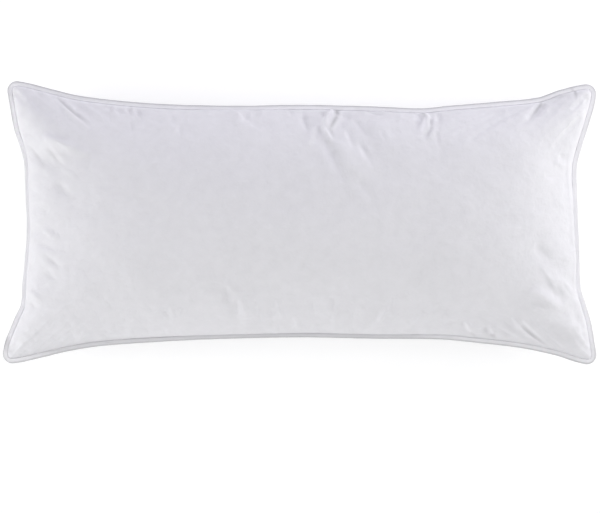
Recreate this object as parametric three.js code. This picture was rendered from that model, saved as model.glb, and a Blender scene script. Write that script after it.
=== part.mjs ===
// A long feather pillow, nominally 40 x 80 cm, lying on its back: a closely woven cotton cover filled to a
// crown, its sides drawn in between four pointed corner ears and puckered along the seam, and a corded piping
// sewn into the seam all the way round. Two pieces: the filled cover, and the piping ring.
// Millimetres, +Z up. The origin is on the resting face under the middle of the pillow, +X runs along the
// pillow, and +Y points to its upper long side.
import * as THREE from "three";
import { mergeGeometries, mergeVertices } from "three/addons/utils/BufferGeometryUtils.js";

// Driving dimensions.
const LENGTH = 780; // over the piping, from corner to corner
const WIDTH = 371; // over the piping, from corner to corner
const CORNER_RADIUS = 8; // of the seam where it turns a corner
const CORD_RADIUS = 3; // of the covered piping cord
const CORD_CLEARANCE = 0.4; // between the cover's sewn edge and the piping
const SEAM_BAND = 2.4; // thickness of the cover where its two panels are sewn together
const SEAM_HEIGHT = 72; // of the seam above the floor, along the sides
const CORNER_DROOP = 8; // how much lower the seam runs round the corners
const SEAM_WAVE = 1.6; // slow rise and fall of the seam along the pillow
const CROWN = 95; // rise of the face above the seam
const BELLY = 125; // drop of the back below the seam, before the floor flattens it
const FLOOR_ROUNDING = 16; // height over which the back rolls up off the floor
const CREASE_FADE = 6; // distance from the seam over which a crease grows to its full height

// Shape of the arch from seam to seam: a higher flatness gives a broader top, and a higher taper a flatter edge.
const FLATNESS_ALONG = 3;
const TAPER_ALONG = 0.42;
const FLATNESS_ACROSS = 2.15;
const TAPER_ACROSS = 0.66;

const CORNER_REACH = 4; // power that keeps the droop of the seam to the corners
const CREASE_PEAK = 0.63; // power that puts a crease's highest place a third of the way along it

// Net of the cover: cells along and across, each closer together towards the seam.
const CELLS_ALONG = 96;
const CELLS_ACROSS = 28;
const CROWDING_ALONG = 1.15;
const CROWDING_ACROSS = 1.35;
const CORD_SIDES = 8;

const HALF_LENGTH = LENGTH / 2 - 2 * CORD_RADIUS - CORD_CLEARANCE;
const HALF_WIDTH = WIDTH / 2 - 2 * CORD_RADIUS - CORD_CLEARANCE;

// How far each side is drawn in from the straight line between its corners. `at` runs along the side from
// its middle, towards +X on the long sides and towards +Y on the short ones.
const UPPER_SIDE = [
  { at: -390, inset: -2 },
  { at: -365, inset: 1.5 },
  { at: -340, inset: 7.5 },
  { at: -300, inset: 17 },
  { at: -262, inset: 22.3 },
  { at: -205, inset: 27.5 },
  { at: -150, inset: 30.3 },
  { at: -75, inset: 31.4 },
  { at: 0, inset: 30 },
  { at: 90, inset: 32 },
  { at: 160, inset: 34.8 },
  { at: 195, inset: 31.5 },
  { at: 260, inset: 26 },
  { at: 314, inset: 20.6 },
  { at: 342, inset: 11.2 },
  { at: 370, inset: 4.6 },
  { at: 390, inset: 3 },
];
const LOWER_SIDE = [
  { at: -390, inset: -1 },
  { at: -365, inset: 2 },
  { at: -340, inset: 7.6 },
  { at: -300, inset: 16.6 },
  { at: -262, inset: 22.3 },
  { at: -195, inset: 27.2 },
  { at: -117, inset: 31.2 },
  { at: 0, inset: 33.6 },
  { at: 90, inset: 32 },
  { at: 185, inset: 31 },
  { at: 237, inset: 26.1 },
  { at: 290, inset: 20 },
  { at: 335, inset: 11 },
  { at: 368, inset: 1 },
  { at: 390, inset: -3 },
];
const LEFT_SIDE = [
  { at: -186, inset: -2 },
  { at: -160, inset: 2 },
  { at: -129, inset: 14 },
  { at: -108, inset: 23 },
  { at: -80, inset: 25 },
  { at: -50, inset: 28 },
  { at: -8, inset: 30.6 },
  { at: 35, inset: 29 },
  { at: 80, inset: 27 },
  { at: 95, inset: 23.4 },
  { at: 122, inset: 14.6 },
  { at: 160, inset: 7.6 },
  { at: 186, inset: 4 },
];
const RIGHT_SIDE = [
  { at: -186, inset: -1 },
  { at: -160, inset: 2.4 },
  { at: -129, inset: 7.9 },
  { at: -105, inset: 15 },
  { at: -86, inset: 20.6 },
  { at: -40, inset: 22.4 },
  { at: 30, inset: 25 },
  { at: 72, inset: 25.8 },
  { at: 94, inset: 21.4 },
  { at: 133, inset: 9.8 },
  { at: 163, inset: 2 },
  { at: 186, inset: 0 },
];

// Creases of the face, as seen from above: each runs from (x, y) to (toX, toY), rises (or sinks, where it is
// negative) by `rise`, and has the half-width `half`.
const CREASES = [
  // sharp tuck and soft folds of the upper left corner
  { x: -313, y: 160, toX: -268, toY: 122, rise: 4.5, half: 7 },
  { x: -300, y: 163, toX: -258, toY: 127, rise: -4, half: 8 },
  { x: -372, y: 158, toX: -268, toY: 88, rise: 5, half: 18 },
  { x: -352, y: 96, toX: -310, toY: 66, rise: -3.5, half: 8 },
  { x: -338, y: 108, toX: -284, toY: 78, rise: 3.5, half: 10 },
  { x: -336, y: 92, toX: -290, toY: 56, rise: -3, half: 8 },
  { x: -340, y: 62, toX: -262, toY: 6, rise: -2.5, half: 12 },
  // short puckers along the upper side
  { x: -246, y: 152, toX: -232, toY: 128, rise: 2.5, half: 7 },
  { x: -224, y: 152, toX: -204, toY: 122, rise: -2.5, half: 7 },
  { x: -170, y: 150, toX: -174, toY: 96, rise: 2.5, half: 9 },
  { x: -150, y: 150, toX: -148, toY: 112, rise: -2.5, half: 8 },
  { x: -92, y: 146, toX: -56, toY: 108, rise: 3, half: 8 },
  { x: -64, y: 146, toX: -28, toY: 108, rise: -2.5, half: 8 },
  { x: 4, y: 148, toX: 18, toY: 106, rise: -5, half: 9 },
  // the main pinch of the upper side, with its two long troughs
  { x: 48, y: 148, toX: 30, toY: 104, rise: 6.5, half: 8 },
  { x: 62, y: 150, toX: 46, toY: 112, rise: -5, half: 8 },
  { x: 26, y: 124, toX: 66, toY: 36, rise: -4.5, half: 9 },
  { x: 40, y: 118, toX: 82, toY: 44, rise: 3, half: 9 },
  { x: 74, y: 134, toX: 108, toY: 62, rise: -3.5, half: 9 },
  { x: 92, y: 146, toX: 122, toY: 84, rise: 2.5, half: 9 },
  { x: 158, y: 146, toX: 150, toY: 108, rise: -4.5, half: 8 },
  { x: 168, y: 146, toX: 166, toY: 100, rise: 4.5, half: 8 },
  { x: 180, y: 146, toX: 174, toY: 108, rise: -4, half: 8 },
  // upper right corner
  { x: 320, y: 160, toX: 296, toY: 128, rise: -5.5, half: 9 },
  { x: 306, y: 160, toX: 280, toY: 124, rise: 3, half: 10 },
  { x: 372, y: 160, toX: 290, toY: 92, rise: 4, half: 20 },
  { x: 362, y: 82, toX: 322, toY: 66, rise: -3, half: 10 },
  // soft folds and sharp tuck of the lower right corner
  { x: 372, y: -162, toX: 270, toY: -86, rise: 5, half: 18 },
  { x: 352, y: -100, toX: 316, toY: -62, rise: 3.5, half: 8 },
  { x: 342, y: -104, toX: 306, toY: -72, rise: -3.5, half: 8 },
  { x: 340, y: -112, toX: 290, toY: -86, rise: 3.5, half: 10 },
  { x: 348, y: -124, toX: 288, toY: -104, rise: -3, half: 9 },
  { x: 342, y: -66, toX: 306, toY: -30, rise: -2.5, half: 12 },
  { x: 322, y: -160, toX: 276, toY: -122, rise: 4.5, half: 7 },
  { x: 312, y: -164, toX: 268, toY: -128, rise: -4, half: 8 },
  // lower side
  { x: 258, y: -152, toX: 226, toY: -122, rise: -3, half: 8 },
  { x: 236, y: -152, toX: 212, toY: -118, rise: 3, half: 8 },
  { x: 96, y: -146, toX: 120, toY: -104, rise: 2.5, half: 9 },
  { x: -78, y: -140, toX: -96, toY: -84, rise: -3, half: 10 },
  { x: -62, y: -140, toX: -80, toY: -78, rise: 3, half: 10 },
  { x: -200, y: -138, toX: -176, toY: -96, rise: 2.5, half: 10 },
  // left side and lower left corner
  { x: -352, y: -14, toX: -306, toY: -16, rise: -2.5, half: 9 },
  { x: -352, y: -48, toX: -300, toY: -40, rise: 2.5, half: 10 },
  { x: -356, y: -102, toX: -318, toY: -88, rise: 3, half: 9 },
  { x: -374, y: -162, toX: -296, toY: -96, rise: 4, half: 18 },
];

// Value of a table at a place along a side: a smooth curve through its rows.
function readTable(rows, at) {
  const above = rows.findIndex((row) => row.at >= at);
  const i = above < 0 ? rows.length - 2 : Math.max(above - 1, 0);
  const slope = (a, b) => (rows[b].inset - rows[a].inset) / (rows[b].at - rows[a].at);
  const span = rows[i + 1].at - rows[i].at;
  const here = THREE.MathUtils.clamp((at - rows[i].at) / span, 0, 1);
  const start = slope(Math.max(i - 1, 0), i + 1) * span;
  const end = slope(i, Math.min(i + 2, rows.length - 1)) * span;
  const square = here * here;
  const cube = square * here;
  return (
    (2 * cube - 3 * square + 1) * rows[i].inset +
    (cube - 2 * square + here) * start +
    (3 * square - 2 * cube) * rows[i + 1].inset +
    (cube - square) * end
  );
}

// Plan position of a point of the net. along and across run from -1 to 1 over the cover.
function planPoint(along, across) {
  let x = along * HALF_LENGTH;
  let y = across * HALF_WIDTH;
  // the corner's square becomes a quarter disc
  const overX = (Math.abs(x) - HALF_LENGTH + CORNER_RADIUS) / CORNER_RADIUS;
  const overY = (Math.abs(y) - HALF_WIDTH + CORNER_RADIUS) / CORNER_RADIUS;
  if (overX > 0 && overY > 0) {
    const roundX = overX * Math.sqrt(1 - (overY * overY) / 2);
    const roundY = overY * Math.sqrt(1 - (overX * overX) / 2);
    x = Math.sign(x) * (HALF_LENGTH + CORNER_RADIUS * (roundX - 1));
    y = Math.sign(y) * (HALF_WIDTH + CORNER_RADIUS * (roundY - 1));
  }
  // the sides are drawn in, and the middle stays where it is
  const shortSide = readTable(x < 0 ? LEFT_SIDE : RIGHT_SIDE, y);
  const longSide = readTable(y < 0 ? LOWER_SIDE : UPPER_SIDE, x);
  return [
    x - Math.sign(x) * shortSide * (x / HALF_LENGTH) ** 2,
    y - Math.sign(y) * longSide * (y / HALF_WIDTH) ** 2,
  ];
}

// Height of the seam: level along the sides, with a slow wave, and lower round the corners.
function seamHeight(along, across) {
  const wave = SEAM_WAVE * Math.sin(3 * Math.PI * along + 1) * Math.cos(Math.PI * across);
  return SEAM_HEIGHT - CORNER_DROOP * Math.abs(along * across) ** CORNER_REACH + wave;
}

// Share of the full crown at a point of the net: broad along the pillow, and an arch across it.
function archShare(along, across) {
  const lengthwise = Math.max(0, 1 - Math.abs(along) ** FLATNESS_ALONG) ** TAPER_ALONG;
  const crosswise = Math.max(0, 1 - Math.abs(across) ** FLATNESS_ACROSS) ** TAPER_ACROSS;
  return lengthwise * crosswise;
}

// Sum of the creases at a place on the face: each is gone at both of its ends.
function creaseRise(x, y) {
  let rise = 0;
  for (const crease of CREASES) {
    const dx = crease.toX - crease.x;
    const dy = crease.toY - crease.y;
    const span = Math.hypot(dx, dy);
    const along = ((x - crease.x) * dx + (y - crease.y) * dy) / span ** 2;
    const off = ((y - crease.y) * dx - (x - crease.x) * dy) / span / crease.half;
    if (along > 0 && along < 1) {
      rise += crease.rise * Math.sin(Math.PI * along ** CREASE_PEAK) * Math.exp(-off * off);
    }
  }
  return rise;
}

// A point of the face panel before it is creased.
function smoothFace(along, across) {
  const [x, y] = planPoint(along, across);
  const z = seamHeight(along, across) + SEAM_BAND / 2 + CROWN * archShare(along, across);
  return new THREE.Vector3(x, y, z);
}

// How much of a crease shows at a point of the net: none at the seam, and all of it a little way in.
function creaseShare(along, across) {
  const inset = Math.min(HALF_LENGTH * (1 - Math.abs(along)), HALF_WIDTH * (1 - Math.abs(across)));
  return 1 - Math.exp(-((inset / CREASE_FADE) ** 2));
}

// A point of the face panel, creased along its own normal.
function facePoint(along, across) {
  const point = smoothFace(along, across);
  if (Math.max(Math.abs(along), Math.abs(across)) === 1) {
    return point;
  }
  const step = 1e-3;
  const tangentX = smoothFace(along + step, across).sub(smoothFace(along - step, across));
  const tangentY = smoothFace(along, across + step).sub(smoothFace(along, across - step));
  const normal = tangentX.cross(tangentY).normalize();
  return point.addScaledVector(normal, creaseShare(along, across) * creaseRise(point.x, point.y));
}

// A point of the back panel: a belly with the same gathers end for end, which the floor has flattened.
function backPoint(along, across) {
  const [x, y] = planPoint(along, across);
  const seam = seamHeight(along, across) - SEAM_BAND / 2;
  const crease = creaseShare(along, across) * creaseRise(-x, y);
  const hang = THREE.MathUtils.clamp(seam - BELLY * archShare(along, across) + crease, 0, seam);
  const z = hang > 0 ? hang ** 2 / (hang + FLOOR_ROUNDING * (1 - hang / seam)) : 0;
  return new THREE.Vector3(x, y, z);
}

// Places of the net's lines from -1 to 1, closer together towards both ends.
function netLines(cells, crowding) {
  return Array.from({ length: cells + 1 }, (_, i) => {
    const even = (2 * i) / cells - 1;
    return Math.sign(even) * (1 - (1 - Math.abs(even)) ** crowding);
  });
}

const ALONG = netLines(CELLS_ALONG, CROWDING_ALONG);
const ACROSS = netLines(CELLS_ACROSS, CROWDING_ACROSS);

// Net places of the seam, once round from the lower left corner, seen from above against the clock.
function seamPlaces() {
  const lower = ALONG.slice(0, -1).map((along) => [along, -1]);
  const right = ACROSS.slice(0, -1).map((across) => [1, across]);
  const upper = ALONG.slice(1).reverse().map((along) => [along, 1]);
  const left = ACROSS.slice(1).reverse().map((across) => [-1, across]);
  return [...lower, ...right, ...upper, ...left];
}

// A sheet of cells from rows of points; it faces to the left of a row seen towards the next.
function netGeometry(rows, closed = false) {
  const width = rows[0].length;
  const index = [];
  for (let row = 0; row < rows.length - 1; row++) {
    for (let i = 0; i < (closed ? width : width - 1); i++) {
      const a = row * width + i;
      const b = row * width + ((i + 1) % width);
      index.push(a, b, b + width, a, b + width, a + width);
    }
  }
  const geometry = new THREE.BufferGeometry().setFromPoints(rows.flat());
  geometry.setIndex(index);
  return geometry;
}

// The filled cover: face panel, back panel and the narrow sewn edge between them.
function coverGeometry() {
  const face = netGeometry(ACROSS.map((v) => ALONG.map((u) => facePoint(u, v))));
  const back = netGeometry(ACROSS.map((v) => ALONG.map((u) => backPoint(u, v)).reverse()));
  const places = seamPlaces();
  const edge = netGeometry(
    [places.map(([u, v]) => backPoint(u, v)), places.map(([u, v]) => facePoint(u, v))],
    true,
  );
  return mergeVertices(mergeGeometries([face, back, edge]), 1e-3);
}

// The piping: a round cord that follows the seam just outside the cover's sewn edge.
function pipingGeometry() {
  const seam = seamPlaces().map(([u, v]) => {
    const [x, y] = planPoint(u, v);
    return new THREE.Vector3(x, y, seamHeight(u, v));
  });
  const up = new THREE.Vector3(0, 0, 1);
  const rings = seam.map((point, i) => {
    const before = seam[(i + seam.length - 1) % seam.length];
    const after = seam[(i + 1) % seam.length];
    const forward = after.clone().sub(before).normalize();
    const outward = forward.clone().cross(up).normalize();
    const upright = outward.clone().cross(forward);
    const centre = point.clone().addScaledVector(outward, CORD_RADIUS + CORD_CLEARANCE);
    return Array.from({ length: CORD_SIDES }, (_, k) => {
      const turn = (-2 * Math.PI * (k + 0.5)) / CORD_SIDES;
      return centre
        .clone()
        .addScaledVector(outward, CORD_RADIUS * Math.cos(turn))
        .addScaledVector(upright, CORD_RADIUS * Math.sin(turn));
    });
  });
  const geometry = netGeometry([...rings, rings[0]], true);
  return mergeVertices(geometry, 1e-3);
}

function addPiece(group, name, geometry, material) {
  geometry.computeVertexNormals();
  const piece = new THREE.Mesh(geometry, material);
  piece.name = name;
  group.add(piece);
}

const cambric = new THREE.MeshStandardMaterial({ color: 0xf1f1f5, roughness: 0.82, metalness: 0 });
const pipingCotton = new THREE.MeshStandardMaterial({ color: 0xececf0, roughness: 0.85, metalness: 0 });

const pillow = new THREE.Group();
addPiece(pillow, "filled_cover", coverGeometry(), cambric);
addPiece(pillow, "piping", pipingGeometry(), pipingCotton);

// the origin goes under the middle of the whole pillow
const middle = new THREE.Box3().setFromObject(pillow).getCenter(new THREE.Vector3());
pillow.position.set(-middle.x, -middle.y, 0);

export default pillow;
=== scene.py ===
"""A long feather pillow lying on its back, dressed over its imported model.

The cover is cut as two flat panels of closely woven cotton, sewn together along the pillow's outline and
filled by a cloth simulation; its tucks and gathers are then pressed in. The piping is a bias strip round a
cord, sewn into the seam. Metres, +Z up, the origin on the resting face under the middle of the pillow, +X
along it.
"""

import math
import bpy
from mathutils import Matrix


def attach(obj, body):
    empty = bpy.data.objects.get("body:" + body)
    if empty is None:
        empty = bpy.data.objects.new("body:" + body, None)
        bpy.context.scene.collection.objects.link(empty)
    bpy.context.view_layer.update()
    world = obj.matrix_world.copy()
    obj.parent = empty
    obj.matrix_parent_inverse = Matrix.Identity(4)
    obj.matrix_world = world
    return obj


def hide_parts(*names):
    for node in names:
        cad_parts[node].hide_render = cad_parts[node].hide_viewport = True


bl_info = {
    "name": "Feather pillow",
    "version": (1, 0, 0),
    "blender": (4, 5, 0),
    "location": "3D View > Sidebar > Pillow",
    "description": "Makes the filled cover and the piping of a long feather pillow, and its plain studio",
    "category": "Add Mesh",
}

from collections import namedtuple

import bpy
import numpy as np
from bpy.props import FloatProperty, FloatVectorProperty, IntProperty, PointerProperty
from mathutils import Vector

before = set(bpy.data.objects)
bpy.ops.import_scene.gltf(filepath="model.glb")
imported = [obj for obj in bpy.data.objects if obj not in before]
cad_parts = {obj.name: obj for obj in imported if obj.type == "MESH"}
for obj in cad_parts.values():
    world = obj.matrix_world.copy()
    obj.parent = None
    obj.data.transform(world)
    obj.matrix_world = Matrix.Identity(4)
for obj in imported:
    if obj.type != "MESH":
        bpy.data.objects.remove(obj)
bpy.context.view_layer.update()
BODY = "root"

MM = 0.001
TINY = 1e-9

# Seam of the pillow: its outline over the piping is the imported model's, drawn in along each side.
OUTLINE_HALF_LENGTH = 390 * MM
OUTLINE_HALF_WIDTH = 185.5 * MM
CORD_RADIUS = 3 * MM
CORD_CLEARANCE = 0.4 * MM
CORNER_RADIUS = 8 * MM
SEAM_BAND = 5.2 * MM
SEAM_HEIGHT = 72 * MM
CORNER_DROOP = 8 * MM
CORNER_REACH = 4
SEAM_WAVE = 1.6 * MM
SEAM_WAVES = 3
SEAM_WAVE_START = 1
TAKE_IN = 1.2 * MM
TAKE_IN_REACH = 4
HALF_LENGTH = OUTLINE_HALF_LENGTH - 2 * CORD_RADIUS - CORD_CLEARANCE
HALF_WIDTH = OUTLINE_HALF_WIDTH - 2 * CORD_RADIUS - CORD_CLEARANCE

# Shape that the filling starts from: crown of the face, belly of the back, and the arch between the seams.
CROWN = 95 * MM
BELLY = 125 * MM
FLOOR_ROUNDING = 16 * MM
FLATNESS_ALONG = 3
TAPER_ALONG = 0.42
FLATNESS_ACROSS = 2.15
TAPER_ACROSS = 0.66
CROWDING_ALONG = 1.15
CROWDING_ACROSS = 1.35

# Creases are soft ridges and troughs, highest a third of the way along, and fade out at the seam.
CREASE_PEAK = 0.63
CREASE_FADE = 6 * MM
FOLD_FADE = 3 * MM

Crease = namedtuple("Crease", "x y to_x to_y rise half right", defaults=[None])
Edge = namedtuple("Edge", "way side greyness reach")


def creases(*rows):
    return [Crease(*row) for row in rows]


# How far each side is drawn in from the straight line between its corners: at and inset, in millimetres.
# `at` runs along the side from its middle, towards +X on the long sides and towards +Y on the short ones.
UPPER_SIDE = [
    (-390, -2), (-365, 1.5), (-340, 7.5), (-300, 17), (-262, 22.3), (-205, 27.5),
    (-150, 30.3), (-75, 31.4), (0, 30), (90, 32), (160, 34.8), (195, 31.5),
    (260, 26), (314, 20.6), (342, 11.2), (370, 4.6), (390, 3),
]
LOWER_SIDE = [
    (-390, -1), (-365, 2), (-340, 7.6), (-300, 16.6), (-262, 22.3), (-195, 27.2),
    (-117, 31.2), (0, 33.6), (90, 32), (185, 31), (237, 26.1), (290, 20),
    (335, 11), (368, 1), (390, -3),
]
LEFT_SIDE = [
    (-186, -2), (-160, 2), (-129, 14), (-108, 23), (-80, 25), (-50, 28),
    (-8, 30.6), (35, 29), (80, 27), (95, 23.4), (122, 14.6), (160, 7.6),
    (186, 4),
]
RIGHT_SIDE = [
    (-186, -1), (-160, 2.4), (-129, 7.9), (-105, 15), (-86, 20.6), (-40, 22.4),
    (30, 25), (72, 25.8), (94, 21.4), (133, 9.8), (163, 2), (186, 0),
]

# Main creases of the face, in millimetres, as seen from above: x, y, to_x, to_y, rise and half. Each runs
# from (x, y) to (to_x, to_y), rises by `rise`, or sinks where it is negative, and is `half` wide each way.
CREASES = creases(
    # sharp tuck and soft folds of the upper left corner
    (-313, 160, -268, 122, 4.5, 7),
    (-300, 163, -258, 127, -4, 8),
    (-372, 158, -268, 88, 5, 18),
    (-352, 96, -310, 66, -3.5, 8),
    (-338, 108, -284, 78, 3.5, 10),
    (-336, 92, -290, 56, -3, 8),
    (-340, 62, -262, 6, -2.5, 12),
    # short puckers along the upper side
    (-246, 152, -232, 128, 2.5, 7),
    (-224, 152, -204, 122, -2.5, 7),
    (-170, 150, -174, 96, 2.5, 9),
    (-150, 150, -148, 112, -2.5, 8),
    (-92, 146, -56, 108, 3, 8),
    (-64, 146, -28, 108, -2.5, 8),
    (4, 148, 18, 106, -5, 9),
    # main pinch of the upper side and its troughs
    (48, 148, 30, 104, 6.5, 8),
    (62, 150, 46, 112, -5, 8),
    (26, 124, 66, 36, -4.5, 9),
    (40, 118, 82, 44, 3, 9),
    (74, 134, 108, 62, -3.5, 9),
    (92, 146, 122, 84, 2.5, 9),
    (158, 146, 150, 108, -4.5, 8),
    (168, 146, 166, 100, 4.5, 8),
    (180, 146, 174, 108, -4, 8),
    # upper right corner
    (320, 160, 296, 128, -5.5, 9),
    (306, 160, 280, 124, 3, 10),
    (372, 160, 290, 92, 4, 20),
    (362, 82, 322, 66, -3, 10),
    # soft folds and sharp tuck of the lower right corner
    (372, -162, 270, -86, 5, 18),
    (352, -100, 316, -62, 3.5, 8),
    (342, -104, 306, -72, -3.5, 8),
    (340, -112, 290, -86, 3.5, 10),
    (348, -124, 288, -104, -3, 9),
    (342, -66, 306, -30, -2.5, 12),
    (322, -160, 276, -122, 4.5, 7),
    (312, -164, 268, -128, -4, 8),
    # lower side
    (258, -152, 226, -122, -3, 8),
    (236, -152, 212, -118, 3, 8),
    (96, -146, 120, -104, 2.5, 9),
    (-78, -140, -96, -84, -3, 10),
    (-62, -140, -80, -78, 3, 10),
    (-200, -138, -176, -96, 2.5, 10),
    # left side and lower left corner
    (-352, -14, -306, -16, -2.5, 9),
    (-352, -48, -300, -40, 2.5, 10),
    (-356, -102, -318, -88, 3, 9),
    (-374, -162, -296, -96, 4, 18),
)

# Sharper folds, tucks and puckers that are pressed into the settled face. Where a row has a seventh number,
# it is the half-width on the right of the run, and `half` is the one on the left.
FOLDS = creases(
    # tucks of the upper left corner
    (-318, 165, -264, 118, -3.5, 3, 2.4),
    (-349, 163, -324, 139, -1.9, 6, 6.5),
    (-331, 111, -267, 86, 6, 5, 6.5),
    (-327, 95, -299, 66, -2.5, 4.5, 3),
    (-359, 107, -329, 76, -1.2, 3, 2.6),
    (-308, 72, -281, 51, 1.2, 4, 2.4),
    (-315, 52, -290, 28, -2.7, 5.5),
    (-360, 94, -347, 73, 1, 3, 2.4),
    # puckers along the upper side
    (-251, 160, -244, 141, -3, 3),
    (-242, 158, -231, 139, -3, 3.5),
    (-226, 157, -219, 140, -2.4, 2.6),
    (-222, 153, -203, 125, 1.6, 2.4, 3),
    (-214, 152, -205, 132, -2.4, 2.6),
    (-219, 132, -213, 112, -1.4, 3),
    (-165, 138, -163, 128, -1.2, 3),
    (-158, 125, -169, 102, 1.2, 4, 3),
    (-156, 125, -150, 109, -1.2, 3),
    (-148, 136, -140, 121, 1.2, 3),
    (-80, 145, -48, 118, -1.6, 3),
    (-14, 147, -7, 136, -2, 3),
    (3, 144, 13, 111, -3, 3.2),
    (24, 127, 8, 93, 3, 3.5),
    (29, 150, 34, 134, -2.6, 3),
    # main pinch of the upper side and its troughs
    (45, 150, 34, 132, 5, 4, 3.5),
    (36, 137, 29, 118, 5, 4, 3.5),
    (29, 122, 44, 98, 4, 3.5),
    (36, 98, 48, 75, -1, 4.5),
    (24, 103, 46, 49, 1, 4, 5),
    (40, 90, 60, 42, -1.4, 5.5, 5),
    (61, 123, 72, 89, -2, 3.5),
    (69, 137, 93, 106, -2.2, 3),
    (76, 105, 94, 70, -2.6, 4),
    (104, 119, 115, 98, -1.6, 3),
    (88, 147, 116, 137, -2.6, 2.4),
    (73, 54, 96, 25, -1.2, 5),
    # knot of tucks right of it
    (154, 144, 162, 132, -2.4, 3),
    (159, 137, 150, 123, -3, 3),
    (154, 144, 179, 132, 2, 2.4),
    (171, 141, 169, 119, -4, 3),
    (170, 123, 158, 104, -3.6, 3),
    (180, 144, 183, 130, -1.6, 2.4),
    (176, 117, 180, 94, -1.4, 3),
    # upper right corner
    (324, 164, 299, 134, -1.8, 2),
    (315, 165, 295, 138, 2, 2.6, 2.4),
    (333, 78, 359, 69, 2, 4, 3),
    (342, 87, 358, 80, -2, 3),
    # broad hollow along the right side, and a fold beside it
    (352, 171, 327, -63, -8, 33),
    (317, 61, 345, 58, -2, 5),
    # folds and sharp tuck of the lower right corner
    (303, -30, 328, -53, -2.4, 6, 7),
    (310, -57, 337, -95, 1.2, 2.2, 2.4),
    (338, -71, 364, -99, 1.1, 2.6),
    (296, -87, 337, -110, 2.4, 6, 4),
    (300, -109, 320, -116, 1.2, 3),
    (275, -122, 324, -162, 3.5, 3, 2.4),
    (320, -134, 357, -161, -3, 7, 5),
    (358, -139, 383, -170, 1.5, 4, 5),
    # puckers along the lower side
    (214, -126, 234, -148, 1.8, 3),
    (211, -128, 217, -142, -1.6, 3),
    (241, -137, 247, -151, -2, 3),
    (248, -133, 255, -149, 1.6, 3),
    (253, -144, 259, -156, -1.6, 2.5),
    (160, -115, 138, -139, 2.2, 3.5),
    (115, -107, 93, -143, 2.6, 3, 3.5),
    (-94, -73, -72, -99, 1.8, 6, 5),
    (-95, -83, -91, -110, -1.6, 3.5),
    (-81, -99, -79, -128, -1.6, 3),
    (-72, -99, -69, -126, 1.4, 3.5),
    (-28, -99, -23, -126, 1.8, 3),
    (-37, -110, -34, -134, -1.4, 3),
    (-53, -107, -49, -136, -1.4, 3.5),
    (-63, -94, -59, -123, 1.2, 4),
    (16, -99, 20, -134, -1.6, 3.5),
    (43, -95, 44, -117, -2, 3.5),
    (48, -107, 44, -142, 1.8, 3.5),
    (65, -102, 71, -134, -1.4, 3.5),
    (80, -107, 86, -134, 1.4, 3.5),
    (121, -94, 117, -123, -1.6, 3.5),
    (175, -104, 161, -128, 1.6, 4),
    (188, -110, 182, -137, -1.4, 4),
    (-6, -120, 1, -142, 1.8, 3),
    (-174, -115, -166, -124, -1.4, 3),
    (-165, -107, -160, -128, 1.2, 3),
    (-155, -110, -152, -123, 1.2, 3),
    # left side and lower left corner
    (-333, -7, -304, -26, 2.4, 4, 3.5),
    (-329, -62, -308, -79, -1.6, 4),
    (-347, -20, -331, -15, 1, 2.6),
    (-343, 23, -312, 9, -1.2, 5),
    (-344, 1, -328, -4, 1, 3),
    (-336, -26, -311, -36, -2.2, 3.4),
    (-328, -43, -303, -61, -2.6, 4),
    (-350, -88, -325, -105, 1.6, 3),
    (-349, -105, -337, -112, -2, 3),
)

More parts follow.
